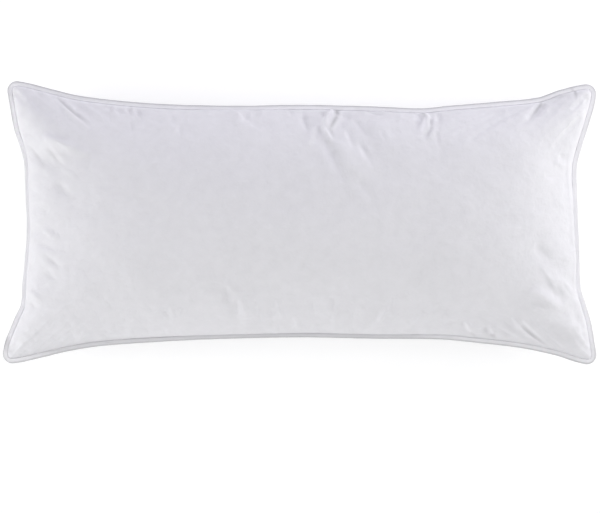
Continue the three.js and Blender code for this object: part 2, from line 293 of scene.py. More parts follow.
# Painted shade along the cloth's tucks, darkening its colour, and painted light beside some of them: `rise`
# is the share, and is negative where light is painted.
TUCK_SHADES = creases(
    # upper left corner
    (-318, 165, -268, 125, 0.22, 1.8),
    (-322, 163, -268, 118, -0.08, 1.8),
    (-351, 165, -320, 135, 0.045, 7),
    (-328, 106, -284, 80, -0.07, 4.5),
    (-315, 113, -293, 103, 0.04, 3),
    (-326, 95, -310, 77, 0.13, 2.1),
    (-350, 99, -327, 68, 0.07, 1.5),
    (-339, 87, -318, 69, -0.045, 3),
    (-310, 78, -298, 65, 0.04, 1.6),
    (-317, 88, -295, 84, 0.05, 2),
    (-315, 50, -283, 24, 0.045, 4),
    # puckers along the upper side
    (-255, 153, -247, 152, 0.08, 1.6),
    (-244, 150, -235, 146, 0.1, 1.9),
    (-225, 148, -218, 147, 0.08, 1.6),
    (-222, 144, -210, 132, -0.04, 2.2),
    (-218, 133, -213, 114, 0.03, 2.4),
    (-211, 143, -205, 134, 0.08, 2),
    # main pinch of the upper side and its troughs
    (-2, 138, 8, 114, -0.03, 2),
    (5, 141, 12, 118, 0.08, 2.6),
    (20, 123, 10, 100, -0.05, 3),
    (26, 123, 20, 103, 0.05, 2.4),
    (28, 147, 32, 137, 0.12, 2.6),
    (49, 151, 49, 134, 0.4, 3.2),
    (49, 138, 38, 118, 0.34, 2.5),
    (38, 121, 46, 106, 0.16, 2.2),
    (45, 148, 32, 132, -0.1, 3),
    (32, 134, 29, 117, -0.09, 3),
    (29, 121, 44, 101, -0.08, 2.4),
    (59, 117, 67, 93, -0.035, 2.4),
    (74, 100, 86, 72, -0.04, 3),
    (74, 126, 89, 109, 0.03, 2.4),
    (81, 100, 93, 83, 0.035, 2.5),
    (88, 145, 111, 138, 0.14, 1.6),
    # knot of tucks right of it
    (148, 143, 153, 130, -0.06, 2.4),
    (161, 144, 165, 130, 0.12, 2.2),
    (161, 145, 174, 134, -0.22, 1.5),
    (163, 137, 155, 105, -0.16, 2.7),
    (168, 148, 176, 141, 0.2, 1.6),
    (171, 138, 171, 118, 0.14, 2.2),
    (171, 122, 164, 110, 0.06, 2.4),
    (175, 140, 179, 129, -0.05, 2),
    # upper right corner
    (320, 162, 297, 132, 0.26, 1.3),
    (308, 161, 295, 139, -0.06, 2.2),
    (310, 158, 357, 171, 0.34, 1.8),
    (361, 181, 362, 161, 0.36, 1.8),
    # lower right corner
    (305, -31, 330, -54, 0.03, 5),
    (317, -70, 330, -89, 0.02, 1.8),
    (319, -61, 338, -89, -0.05, 1.8),
    (341, -79, 357, -98, 0.1, 1.6),
    (326, -79, 342, -100, -0.06, 2.5),
    (296, -88, 319, -100, -0.06, 4),
    (297, -105, 332, -112, 0.06, 2.6),
    (287, -131, 326, -162, 0.26, 1.6),
    (287, -126, 326, -160, -0.14, 1.4),
    (320, -137, 357, -161, 0.03, 7),
    # puckers along the lower side
    (240, -139, 248, -151, 0.1, 1.9),
    (223, -142, 232, -151, 0.12, 1.7),
    (214, -130, 223, -144, -0.05, 2),
    (247, -137, 254, -148, -0.09, 1.7),
    (248, -146, 258, -152, 0.16, 1.7),
    (157, -120, 138, -139, -0.03, 2.4),
    (111, -110, 94, -138, -0.035, 2),
    (-3, -126, -10, -139, -0.03, 2.4),
    (-26, -115, -24, -128, -0.035, 2),
    (-72, -102, -70, -128, -0.03, 2),
    (-81, -99, -81, -128, 0.03, 2),
    (-86, -86, -84, -104, -0.02, 2),
    (-93, -89, -86, -126, 0.05, 3),
    # left side and lower left corner
    (-333, -6, -305, -27, 0.05, 3),
    (-351, -88, -326, -104, 0.03, 2),
    (-383, -162, -373, -179, 0.07, 4),
    (-374, -179, -311, -166, 0.2, 1.8),
)

# Painted shade in the same way on the puckers of the piping round its corners
PIPING_PUCKER_SHADES = creases(
    (-378, 165, -370, 181, 0.14, 1.8),
    (-373, 177, -359, 178, 0.12, 1.5),
    (-383, -149, -381, -177, 0.16, 6),
    (-374, -177, -311, -164, 0.22, 1.8),
    (370, -168, 374, -179, 0.16, 1.5),
    (378, -167, 382, -179, 0.16, 1.5),
    (382, 173, 382, 160, 0.14, 1.5),
    (357, 177, 362, 166, 0.2, 1.8),
)

# Painted shade on the cover beside each side of its seam, or painted light where negative, and how far in,
# in millimetres.
EDGE_SHADES = [
    Edge("across", 1, -0.14, 2),
    Edge("across", -1, 0.04, 4),
    Edge("along", -1, -0.04, 2),
    Edge("along", 1, -0.09, 2),
]


# Sizes and colours that a user would change

def metres(name, description, default):
    return FloatProperty(name=name, description=description, default=default, unit="LENGTH")


def amount(name, description, default, **limits):
    return FloatProperty(name=name, description=description, default=default, min=0, **limits)


def part(name, description, default, **limits):
    return amount(name, description, default, subtype="FACTOR", **limits)


def whole(name, description, default):
    return IntProperty(name=name, description=description, default=default)


def paint(name, description, default):
    limits = {"min": 0, "max": 1, "subtype": "COLOR"}
    return FloatVectorProperty(name=name, description=description, default=default, **limits)


class CoverSettings(bpy.types.PropertyGroup):
    """The filled cotton cover."""

    panel_length: metres("Panel length", "Length of each flat panel between its seams", 0.788)
    panel_width: metres("Panel width", "Width of each flat panel between its seams", 0.388)
    cells_along: whole("Cells along", "Cells of the net along the pillow", 100)
    cells_across: whole("Cells across", "Cells of the net across the pillow", 46)
    fullness: amount("Fullness", "Pressure with which the feathers fill the cover", 66)
    frames: whole("Frames", "Frames over which the cover is filled", 32)
    drawing_frames: whole("Drawing frames", "Frames over which the seam is drawn in", 14)
    start_share: part("Start", "Share of the filled shape that the flat panels start from", 0.9, max=1)
    reach: metres("Reach", "How far the cloth may settle from the shape that the filling starts from", 0.025)
    pressed: part("Pressed creases", "Share of the main creases pressed into the settled cover", 0.2)
    folded: part("Folds", "Share of the sharper folds pressed into the face", 1)
    # Tucks: share of the painted shade along the cloth's tucks, and of the painted light beside some of them
    tucked: part("Tucks", "How grey the cloth is where it is tucked in on itself", 1)
    gathers: whole("Gathers", "Short random creases along the seam", 150)
    lump_height: metres("Lumps", "Height of the slow lumps that the feathers give", 0.7 * MM)
    crinkle: amount("Crinkle", "Strength of the fine crinkles", 0.9)
    seed: whole("Seed", "Where the random gathers and lumps start from", 7)
    colour: paint("Cotton", "Colour of the cover's cotton", (0.74, 0.735, 0.765))


class PipingSettings(bpy.types.PropertyGroup):
    """The corded piping."""

    sides: whole("Sides", "Sides of the cord's section", 20)
    unevenness: metres("Unevenness", "Height of the strip's slanting ripples", 0.08 * MM)
    # Rim shade: painted shade round the outside of the cord
    rim_shade: part("Rim shade", "How much greyer the strip is round the outside of its cord", 0.38, max=1)
    seed: whole("Seed", "Where the strip's random ripples start from", 3)
    colour: paint("Bias strip", "Colour of the piping's cotton", (0.75, 0.745, 0.77))


class StudioSettings(bpy.types.PropertyGroup):
    """Floor, lights and camera."""

    camera_distance: metres("Camera distance", "From the camera to the seam of the pillow", 3)
    floor_size: metres("Floor size", "Side of the floor", 12)
    floor_colour: paint("Floor", "Colour of the floor", (0.6, 0.6, 0.6))
    floor_glow: amount("Floor glow", "Light that the floor gives off", 0.45)
    room_light: amount("Room light", "Even light from all round", 0.35)
    lamp_share: part("Lamps", "Share of the lamps' full power", 1)


# Shader maths

class Signal:
    """An output socket. An expression on signals and numbers adds the Math nodes that work it out."""

    def __init__(self, finish, socket):
        self.finish = finish
        self.socket = socket

    def maths(self, operation, *values):
        return self.finish.add("ShaderNodeMath", {"operation": operation}, dict(enumerate(values)))

    def __add__(self, other):
        return self.maths("ADD", self, other)

    def __radd__(self, other):
        return self.maths("ADD", other, self)

    def __sub__(self, other):
        return self.maths("SUBTRACT", self, other)

    def __rsub__(self, other):
        return self.maths("SUBTRACT", other, self)

    def __mul__(self, other):
        return self.maths("MULTIPLY", self, other)

    def __rmul__(self, other):
        return self.maths("MULTIPLY", other, self)

    def __pow__(self, other):
        return self.maths("POWER", self, other)

    def __rpow__(self, other):
        return self.maths("POWER", other, self)

    def sine(self):
        return self.maths("SINE", self)

    def size(self):
        return self.maths("ABSOLUTE", self)


class Finish:
    """A material and its Principled shader."""

    def __init__(self, name):
        self.material = bpy.data.materials.new(name)
        self.material.use_nodes = True
        self.nodes = self.material.node_tree.nodes
        self.links = self.material.node_tree.links
        self.shader = self.nodes["Principled BSDF"]

    def add(self, kind, settings, sockets, output=0):
        """Adds a node of a kind: its settings are set first, then its sockets are given values or links."""
        node = self.nodes.new(kind)
        for name, value in settings.items():
            setattr(node, name, value)
        self.join(node, sockets)
        return Signal(self, node.outputs[output])

    def join(self, node, sockets):
        for name, value in sockets.items():
            if isinstance(value, Signal):
                self.links.new(value.socket, node.inputs[name])
            else:
                node.inputs[name].default_value = value

    def shade(self, **sockets):
        """Sets the shader's sockets; an underscore in a name stands for a space."""
        self.join(self.shader, {name.replace("_", " "): value for name, value in sockets.items()})
        return self.material


CLOTH_MAP = "cloth"
PAINTED_SHADING = "greyness"

# Relief of the cotton: its threads with their slubs, and its crumple
THREAD_PITCH = 0.5 * MM
THREAD_DEPTH = 0.25 * MM
THREAD_STRENGTH = 0.25
THREAD_ROUNDNESS = 0.5
SLUB_SHARE = 0.4
CRUMPLE_DEPTH = 2.0 * MM

# Scale, detail and roughness of its noises
CLOUDS = (14, 3, 0.5)
CRUMPLE = (75, 4, 0.55)
SLUBS = (900, 1, 0.5)

# Uneven white, partly the cloth's own tone and partly painted shade of the crumple: how far it goes either
# side of the cotton's colour, and what the noises give to it
DARKEST = 0.945
WHITEST = 1.05
CLOUD_MOTTLE = 0.4
SLUB_MOTTLE = 0.2
MOTTLE_MIDDLE = 0.3

MATTNESS = 0.9
THREAD_GLOSS = 0.12


def weave(finish, pitch, girth):
    """Height of a plain weave and places on the cloth; across a cord they are shares of its girth."""
    place = finish.add("ShaderNodeUVMap", {"uv_map": CLOTH_MAP}, {})
    along = finish.add("ShaderNodeSeparateXYZ", {}, {"Vector": place})
    across = Signal(finish, along.socket.node.outputs[1])
    over = (along * (math.pi / pitch)).sine() * (across * (math.pi * girth / pitch)).sine()
    return over.size() ** THREAD_ROUNDNESS, place


def noise(finish, place, scale, detail, roughness):
    return finish.add(
        "ShaderNodeTexNoise",
        {"noise_dimensions": "3D"},
        {"Vector": place, "Scale": scale, "Detail": detail, "Roughness": roughness},
    )


# Places of the Mix node's two colours among its sockets, and of the mixed colour among its outputs
MIX_FROM = 6
MIX_TO = 7
MIXED = 2


def tint(finish, factor, first, second):
    """A colour between the first and the second plain colour."""
    sockets = {"Factor": factor, MIX_FROM: (*first, 1), MIX_TO: (*second, 1)}
    return finish.add("ShaderNodeMix", {"data_type": "RGBA"}, sockets, MIXED)


def scaled(colour, share):
    return tuple(min(1, channel * share) for channel in colour)


def cotton(name, colour, crinkle, girth=1):
    """Closely woven cotton: threads, faint crinkles and an uneven white, with the piece's painted shade and
    light.
    """
    finish = Finish(name)
    threads, place = weave(finish, THREAD_PITCH, girth)
    spots = finish.add("ShaderNodeTexCoord", {}, {}, "Object")
    clouds = noise(finish, spots, *CLOUDS)
    crumple = noise(finish, spots, *CRUMPLE)
    slubs = noise(finish, place, *SLUBS)
    height = threads * (1 - SLUB_SHARE) + slubs * SLUB_SHARE
    relief = {"Strength": THREAD_STRENGTH, "Distance": THREAD_DEPTH, "Height": height}
    bump = finish.add("ShaderNodeBump", {}, relief)
    relief = {"Strength": crinkle, "Distance": CRUMPLE_DEPTH, "Height": crumple, "Normal": bump}
    bump = finish.add("ShaderNodeBump", {}, relief)
    # Painted shade of the crumple: the colour is darker where the crumple's relief sinks; clouds and slubs
    # are the cloth's tone
    tone_and_crumple_shade = clouds * CLOUD_MOTTLE + crumple + slubs * SLUB_MOTTLE - MOTTLE_MIDDLE
    base = tint(finish, tone_and_crumple_shade, scaled(colour, DARKEST), scaled(colour, WHITEST))
    # The piece's painted shade darkens the base colour, and its painted light, where negative, whitens it
    grey = finish.add("ShaderNodeAttribute", {"attribute_name": PAINTED_SHADING}, {}, "Fac")
    base = finish.add("ShaderNodeVectorMath", {"operation": "SCALE"}, {"Vector": base, "Scale": 1 - grey})
    return finish.shade(
        Base_Color=base,
        Roughness=MATTNESS - threads * THREAD_GLOSS,
        Sheen_Weight=0.12,
        Sheen_Roughness=0.45,
        Specular_IOR_Level=0.3,
        Normal=bump,
    )


# Seam and start shape

def read_table(rows, at):
    """Value of a table at places along a side, in metres: a smooth curve through its rows."""
    places, depths = np.array(rows).T * MM
    i = np.clip(np.searchsorted(places, at) - 1, 0, len(rows) - 2)
    span = places[i + 1] - places[i]
    here = np.clip((at - places[i]) / span, 0, 1)
    before = np.maximum(i - 1, 0)
    after = np.minimum(i + 2, len(rows) - 1)
    start = (depths[i + 1] - depths[before]) / (places[i + 1] - places[before]) * span
    end = (depths[after] - depths[i]) / (places[after] - places[i]) * span
    square = here**2
    cube = here**3
    return (
        (2 * cube - 3 * square + 1) * depths[i]
        + (cube - 2 * square + here) * start
        + (3 * square - 2 * cube) * depths[i + 1]
        + (cube - square) * end
    )


def rounded(x, y, half_length, half_width, radius):
    """A rectangle's points with its corners' squares made into quarter discs."""
    over_x = np.clip((np.abs(x) - half_length + radius) / radius, 0, 1)
    over_y = np.clip((np.abs(y) - half_width + radius) / radius, 0, 1)
    corner = (over_x > 0) & (over_y > 0)
    round_x = half_length + radius * (over_x * np.sqrt(1 - over_y**2 / 2) - 1)
    round_y = half_width + radius * (over_y * np.sqrt(1 - over_x**2 / 2) - 1)
    return np.where(corner, np.sign(x) * round_x, x), np.where(corner, np.sign(y) * round_y, y)


def plan_points(along, across):
    """Places of net points as seen from above; along and across run from -1 to 1 over the cover."""
    x, y = rounded(along * HALF_LENGTH, across * HALF_WIDTH, HALF_LENGTH, HALF_WIDTH, CORNER_RADIUS)
    short_side = np.where(x < 0, read_table(LEFT_SIDE, y), read_table(RIGHT_SIDE, y))
    long_side = np.where(y < 0, read_table(LOWER_SIDE, x), read_table(UPPER_SIDE, x))
    short_side = short_side + TAKE_IN * (1 - (y / HALF_WIDTH) ** TAKE_IN_REACH)
    long_side = long_side + TAKE_IN * (1 - (x / HALF_LENGTH) ** TAKE_IN_REACH)
    drawn_x = x - np.sign(x) * short_side * (x / HALF_LENGTH) ** 2
    drawn_y = y - np.sign(y) * long_side * (y / HALF_WIDTH) ** 2
    return drawn_x, drawn_y


def seam_height(along, across):
    wave = SEAM_WAVE * np.sin(SEAM_WAVES * np.pi * along + SEAM_WAVE_START) * np.cos(np.pi * across)
    return SEAM_HEIGHT - CORNER_DROOP * np.abs(along * across) ** CORNER_REACH + wave


def arch_share(along, across):
    lengthwise = np.maximum(0, 1 - np.abs(along) ** FLATNESS_ALONG) ** TAPER_ALONG
    crosswise = np.maximum(0, 1 - np.abs(across) ** FLATNESS_ACROSS) ** TAPER_ACROSS
    return lengthwise * crosswise


def crease_rise(rows, x, y):
    """Sum of a table's creases at places on the face, in metres: each is gone at both of its ends."""
    rise = np.zeros_like(x)
    for row in rows:
        start = np.array([row.x, row.y]) * MM
        run = np.array([row.to_x, row.to_y]) * MM - start
        span = np.hypot(*run)
        along = ((x - start[0]) * run[0] + (y - start[1]) * run[1]) / span**2
        off = ((y - start[1]) * run[0] - (x - start[0]) * run[1]) / span / (row.half * MM)
        if row.right is not None:
            off = np.where(off < 0, off * row.half / row.right, off)
        inside = np.clip(along, 0, 1)
        rise += row.rise * MM * np.sin(np.pi * inside**CREASE_PEAK) * np.exp(-(off**2))
    return rise


def crease_share(along, across, reach=CREASE_FADE):
    inset = np.minimum(HALF_LENGTH * (1 - np.abs(along)), HALF_WIDTH * (1 - np.abs(across)))
    return 1 - np.exp(-((inset / reach) ** 2))


def edge_shade_and_light(along, across):
    """Painted shade of the cover beside each side of its seam, or painted light where it is negative."""
    greyness = np.zeros_like(along)
    for edge in EDGE_SHADES:
        place, half = (along, HALF_LENGTH) if edge.way == "along" else (across, HALF_WIDTH)
        inset = half * (1 - edge.side * place)
        greyness += edge.greyness * np.exp(-((inset / (edge.reach * MM)) ** 2))
    return greyness


def net_lines(cells, crowding):
    """Places of the net's lines from -1 to 1, closer together towards both ends."""
    even = np.linspace(-1, 1, cells + 1)
    return np.sign(even) * (1 - (1 - np.abs(even)) ** crowding)


def start_face(along, across):
    x, y = plan_points(along, across)
    z = seam_height(along, across) + SEAM_BAND / 2 + CROWN * arch_share(along, across)
    z = z + crease_share(along, across) * crease_rise(CREASES, x, y)
    return np.stack([x, y, z], axis=-1)


def start_back(along, across):
    x, y = plan_points(along, across)
    seam = seam_height(along, across) - SEAM_BAND / 2
    crease = crease_share(along, across) * crease_rise(CREASES, -x, y)
    hang = np.clip(seam - BELLY * arch_share(along, across) + crease, 0, seam)
    z = hang**2 / (hang + FLOOR_ROUNDING * (1 - hang / seam) + TINY)
    return np.stack([x, y, z], axis=-1)


def seam_ring(cells_along, cells_across):
    """Net places of the seam, once round against the clock from the lower left corner."""
    along = net_lines(cells_along, CROWDING_ALONG)
    across = net_lines(cells_across, CROWDING_ACROSS)
    lower = [(u, -1) for u in along[:-1]]
    right = [(1, v) for v in across[:-1]]
    upper = [(u, 1) for u in along[:0:-1]]
    left = [(-1, v) for v in across[:0:-1]]
    return np.array(lower + right + upper + left).T


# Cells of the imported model's net along and across the pillow
MODEL_CELLS = (96, 28)


def middle_shift():
    """What moves the outline's middle to the origin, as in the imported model."""
    x, y = plan_points(*seam_ring(*MODEL_CELLS))
    low = np.array([x.min(), y.min()])
    high = np.array([x.max(), y.max()])
    return np.append(-(low + high) / 2, 0)


# Meshes

def add_object(name, points, faces, material=None, uvs=None, greyness=None):
    mesh = bpy.data.meshes.new(name)
    mesh.from_pydata(points.tolist(), [], faces)
    if uvs is not None:
        layer = mesh.uv_layers.new(name=CLOTH_MAP)
        layer.data.foreach_set("uv", np.asarray(uvs, dtype=np.float32).ravel())
    # painted shade and light of the piece, read by its material
    if greyness is not None:
        attribute = mesh.attributes.new(PAINTED_SHADING, "FLOAT", "POINT")
        attribute.data.foreach_set("value", np.asarray(greyness, dtype=np.float32).ravel())
    mesh.shade_smooth()
    if material is not None:
        mesh.materials.append(material)
    piece = bpy.data.objects.new(name, mesh)
    bpy.context.scene.collection.objects.link(piece)
    return piece


def points_of(mesh):
    points = np.empty(len(mesh.vertices) * 3)
    mesh.vertices.foreach_get("co", points)
    return points.reshape(-1, 3)


def grid_faces(rows, columns, first, turned):
    """Faces of a grid of points that faces up, or down where it is turned."""
    i, j = np.meshgrid(np.arange(columns - 1), np.arange(rows - 1))
    corner = (first + j * columns + i).ravel()
    faces = np.stack([corner, corner + 1, corner + columns + 1, corner + columns], axis=-1)
    return faces[:, ::-1] if turned else faces


def grid_ring(rows, columns, first):
    """The border of a grid of points, once round against the clock as seen from above."""
    lower = np.arange(columns - 1)
    right = np.arange(rows - 1) * columns + columns - 1
    upper = (rows - 1) * columns + np.arange(columns - 1, 0, -1)
    left = np.arange(rows - 1, 0, -1) * columns
    return first + np.concatenate([lower, right, upper, left])


def sew(face, back):
    """Points, faces and border of two panels joined by a sewn edge. The face may have a finer net."""
    points = np.concatenate([face.reshape(-1, 3), back.reshape(-1, 3)])
    first_back = face.shape[0] * face.shape[1]
    faces = grid_faces(*face.shape[:2], 0, False).tolist()
    faces += grid_faces(*back.shape[:2], first_back, True).tolist()
    face_ring = grid_ring(*face.shape[:2], 0)
    back_ring = grid_ring(*back.shape[:2], first_back)
    finer = len(face_ring) // len(back_ring)
    for i, here in enumerate(back_ring):
        there = back_ring[(i + 1) % len(back_ring)]
        span = [int(face_ring[(finer * i + k) % len(face_ring)]) for k in range(finer, -1, -1)]
        faces.append([int(here), int(there), *span])
    return points, faces, np.concatenate([face_ring, back_ring])


def refine(grid, times):
    """A grid of points with finer lines both ways: a smooth surface through the old points."""
    for axis in (0, 1):
        lines = np.moveaxis(grid, axis, 0)
        before = np.concatenate([2 * lines[:1] - lines[1:2], lines[:-2]])
        after = np.concatenate([lines[2:], 2 * lines[-1:] - lines[-2:-1]])
        start = lines[:-1]
        end = lines[1:]
        steps = []
        for step in range(times):
            t = step / times
            line = start + (end - before) * t / 2
            line += (2 * before - 5 * start + 4 * end - after) * t**2 / 2
            line += (3 * start - before - 3 * end + after) * t**3 / 2
            steps.append(line)
        fine = np.stack(steps, axis=1).reshape(-1, *lines.shape[1:])
        grid = np.moveaxis(np.concatenate([fine, lines[-1:]]), 0, axis)
    return grid


def smooth(grid, passes):
    """Fairs the inside of a grid of points."""
    for _ in range(passes):
        middle = (grid[:-2, 1:-1] + grid[2:, 1:-1] + grid[1:-1, :-2] + grid[1:-1, 2:]) / 4
        grid[1:-1, 1:-1] = (grid[1:-1, 1:-1] + middle) / 2
    return grid


def grid_normals(grid):
    normals = np.cross(np.gradient(grid, axis=1), np.gradient(grid, axis=0))
    return normals / np.maximum(np.linalg.norm(normals, axis=-1, keepdims=True), TINY)


def net_places(cells_along, cells_across):
    """Net places of a panel's grid: rows run along the pillow."""
    return np.meshgrid(net_lines(cells_along, CROWDING_ALONG), net_lines(cells_across, CROWDING_ACROSS))


def cut_panel(cells_along, cells_across):
    """Places of a panel's grid on its flat cloth."""
    settings = bpy.context.scene.pillow_cover
    u, v = np.meshgrid(np.linspace(-1, 1, cells_along + 1), np.linspace(-1, 1, cells_across + 1))
    half_length = settings.panel_length / 2
    half_width = settings.panel_width / 2
    x, y = rounded(u * half_length, v * half_width, half_length, half_width, CORNER_RADIUS)
    return np.stack([x, y], axis=-1)


# How much finer the finished panels' nets are than those that are filled, and how often they are faired
FACE_FINER = 4
BACK_FINER = 2
FACE_FAIRINGS = 2
BACK_FAIRINGS = 1

# The floor that the cover is filled over, and how far the back then sinks onto it
FLOOR_GAP = 2 * MM
FLOOR_FRICTION = 5
FLOOR_SINK = 2.5 * MM

# How the cotton behaves while it is filled
GRAVITY_SHARE = 0.4
COTTON_CLOTH = {
    "quality": 6,
    "mass": 0.02,
    "tension_stiffness": 80,
    "compression_stiffness": 80,
    "shear_stiffness": 30,
    "bending_stiffness": 0.1,
    "tension_damping": 10,
    "compression_damping": 10,
    "shear_damping": 10,
    "bending_damping": 2,
    "air_damping": 1,
}


def fill_cover(cut, sewn_face, sewn_back):
    """Fills the two sewn panels over a floor, while the seam is drawn in to the pillow's outline."""
    scene = bpy.context.scene
    settings = scene.pillow_cover
    rise = [0, 0, SEAM_BAND / 2]
    flat_face = np.append(cut, np.zeros_like(cut[..., :1]), axis=-1) + rise
    flat_back = flat_face - rise - rise
    flat, faces, border = sew(flat_face, flat_back)
    sewn = sew(sewn_face, sewn_back)[0]
    laid = flat + [0, 0, SEAM_HEIGHT]
    laid += (sewn - laid) * settings.start_share
    drawn = laid.copy()
    drawn[border] = sewn[border]

    piece = add_object("filling", laid, faces)
    piece.shape_key_add(name="laid")
    cut_key = piece.shape_key_add(name="cut")
    cut_key.data.foreach_set("co", flat.ravel())
    seam_key = piece.shape_key_add(name="seam")
    seam_key.data.foreach_set("co", drawn.ravel())
    piece.vertex_groups.new(name="seam").add(border.tolist(), 1, "REPLACE")
    for value, frame_number in ((0, 1), (1, settings.drawing_frames)):
        seam_key.value = value
        seam_key.keyframe_insert("value", frame=frame_number)

    corners = np.array([(-1, -1, 0), (1, -1, 0), (1, 1, 0), (-1, 1, 0)], dtype=float)
    floor = add_object("filling_floor", corners, [(0, 1, 2, 3)])
    floor.modifiers.new("Collision", "COLLISION")
    floor.collision.thickness_outer = FLOOR_GAP
    floor.collision.cloth_friction = FLOOR_FRICTION

    modifier = piece.modifiers.new("Cloth", "CLOTH")
    cloth = modifier.settings
    for name, value in COTTON_CLOTH.items():
        setattr(cloth, name, value)
    cloth.rest_shape_key = cut_key
    cloth.vertex_group_mass = "seam"
    cloth.use_pressure = True
    cloth.uniform_pressure_force = settings.fullness
    cloth.effector_weights.gravity = GRAVITY_SHARE
    modifier.collision_settings.use_collision = True
    modifier.collision_settings.distance_min = FLOOR_GAP
    modifier.point_cache.frame_end = settings.frames
    scene.frame_start = 1
    scene.frame_end = settings.frames
    for frame_number in range(1, settings.frames + 1):
        scene.frame_set(frame_number)
    settled = points_of(piece.evaluated_get(bpy.context.evaluated_depsgraph_get()).data)
    bpy.data.objects.remove(piece)
    bpy.data.objects.remove(floor)
    scene.frame_set(1)

    # the cloth stays within reach of the shape that the filling starts from
    step = settled - sewn
    size = np.linalg.norm(step, axis=1, keepdims=True)
    settled = sewn + step * np.minimum(1, settings.reach / np.maximum(size, TINY))
    face, back = np.split(settled, 2)
    return face.reshape(sewn_face.shape), back.reshape(sewn_back.shape)


Stretch = namedtuple("Stretch", "start end inward share")

# The seam as straight stretches, in millimetres, with the way in and their shares of the random gathers
STRETCHES = [
    Stretch((-345, -165), (0, -145), (0, 1), 0.16),
    Stretch((0, -145), (345, -165), (0, 1), 0.16),
    Stretch((345, 165), (0, 147), (0, -1), 0.16),
    Stretch((0, 147), (-345, 165), (0, -1), 0.16),
    Stretch((-372, 165), (-352, 0), (1, 0), 0.09),
    Stretch((-352, 0), (-372, -165), (1, 0), 0.09),
    Stretch((372, -165), (356, 0), (-1, 0), 0.09),
    Stretch((356, 0), (372, 165), (-1, 0), 0.09),
]

# Random gathers: least and most of each one's place on its stretch, and of its length, rise and half-width
# in millimetres; then the spread of its slant, and how far outside the seam it starts
GATHER_PLACES = (0.04, 0.96)
GATHER_LENGTHS = (12, 42)
GATHER_RISES = (0.4, 1.3)
GATHER_HALVES = (2.2, 5.5)
GATHER_SLANT = 0.55
GATHER_START = 4

# Slow lumps of feathers
LUMP_WAVES = 14
LUMP_LENGTHS = (50 * MM, 140 * MM)

# The back's creases are gone where it nears the floor.
BACK_CREASE_HEIGHT = 30 * MM


def seam_gathers(randoms, count):
    """Short random creases that start at the seam and run in over the panel."""
    shares = [stretch.share for stretch in STRETCHES]
    rows = []
    for _ in range(count):
        stretch = STRETCHES[randoms.choice(len(STRETCHES), p=shares)]
        side = np.subtract(stretch.end, stretch.start)
        place = stretch.start + side * randoms.uniform(*GATHER_PLACES)
        inward = np.array(stretch.inward)
        side = side / np.hypot(*side)
        length = randoms.uniform(*GATHER_LENGTHS)
        slant = randoms.normal(0, GATHER_SLANT)
        start = place - GATHER_START * inward
        end = place + length * (inward * math.cos(slant) + side * math.sin(slant))
        rise = randoms.uniform(*GATHER_RISES) * randoms.choice([-1, 1])
        rows.append(Crease(*start, *end, rise, randoms.uniform(*GATHER_HALVES)))
    return rows


def lumps(randoms, x, y):
    """A slow uneven rise and fall, from about -1 to 1."""
    rise = np.zeros_like(x)
    for _ in range(LUMP_WAVES):
        length = randoms.uniform(*LUMP_LENGTHS)
        turn = randoms.uniform(0, math.pi)
        start = randoms.uniform(0, 2 * math.pi)
        way = (x * math.cos(turn) + y * math.sin(turn)) * 2 * math.pi / length
        rise += np.sin(way + start)
    return rise / math.sqrt(LUMP_WAVES)


def dress_panel(grid, cells, turned, shift, randoms):
    """Sets a settled panel's border on the seam and presses its creases in; returns its painted shade and
    light.
    """
    settings = bpy.context.scene.pillow_cover
    u, v = net_places(*cells)
    border = np.maximum(np.abs(u), np.abs(v)) == 1
    seam_x, seam_y = plan_points(u, v)
    seam_z = seam_height(u, v) + SEAM_BAND / 2 * (-1 if turned else 1)
    seam = np.stack([seam_x, seam_y, seam_z], axis=-1) + shift
    grid[border] = seam[border]
    x = -grid[..., 0] if turned else grid[..., 0]
    y = grid[..., 1]
    rise = settings.pressed * crease_rise(CREASES, x, y)
    rise += crease_rise(seam_gathers(randoms, settings.gathers), x, y)
    rise += settings.lump_height * lumps(randoms, x, y)
    rise *= crease_share(u, v)
    # painted light beside the seam, and painted shade beside its lower side
    greyness = edge_shade_and_light(u, v)
    if turned:
        rise *= -np.clip(grid[..., 2] / BACK_CREASE_HEIGHT, 0, 1)
    else:
        rise += settings.folded * crease_rise(FOLDS, x, y) * crease_share(u, v, FOLD_FADE)
        # painted shade along the face's tucks, and painted light beside some of them
        greyness += settings.tucked * crease_rise(TUCK_SHADES, x, y) / MM
    grid += grid_normals(grid) * rise[..., None]
    return greyness.ravel()


class PILLOW_OT_cover(bpy.types.Operator):
    """Cut, sew and fill the cotton cover"""

    bl_idname = "pillow.cover"
    bl_label = "Filled cover"

    def execute(self, context):
        settings = context.scene.pillow_cover
        cells = (settings.cells_along, settings.cells_across)
        face_cells = [count * FACE_FINER for count in cells]
        back_cells = [count * BACK_FINER for count in cells]
        shift = middle_shift()
        places = net_places(*cells)
        face = start_face(*places) + shift
        back = start_back(*places) + shift
        face, back = fill_cover(cut_panel(*cells), face, back)
        face = smooth(refine(face, FACE_FINER), FACE_FAIRINGS)
        back = smooth(refine(back, BACK_FINER), BACK_FAIRINGS)

        randoms = np.random.default_rng(settings.seed)
        face_painted_shading = dress_panel(face, face_cells, False, shift, randoms)
        back_painted_shading = dress_panel(back, back_cells, True, shift, randoms)
        back[..., 2] = np.maximum(back[..., 2] - FLOOR_SINK * (1 - back[..., 2] / SEAM_HEIGHT), 0)

        points, faces, _ = sew(face, back)
        cuts = [cut_panel(*face_cells).reshape(-1, 2), cut_panel(*back_cells).reshape(-1, 2)]
        cloth_places = np.concatenate(cuts)[np.concatenate(faces)]
        greyness = np.append(face_painted_shading, back_painted_shading)
        material = cotton("cambric", settings.colour, settings.crinkle)
        piece = add_object("cover", points, faces, material, cloth_places, greyness)
        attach(piece, BODY)
        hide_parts("filled_cover")
        return {"FINISHED"}


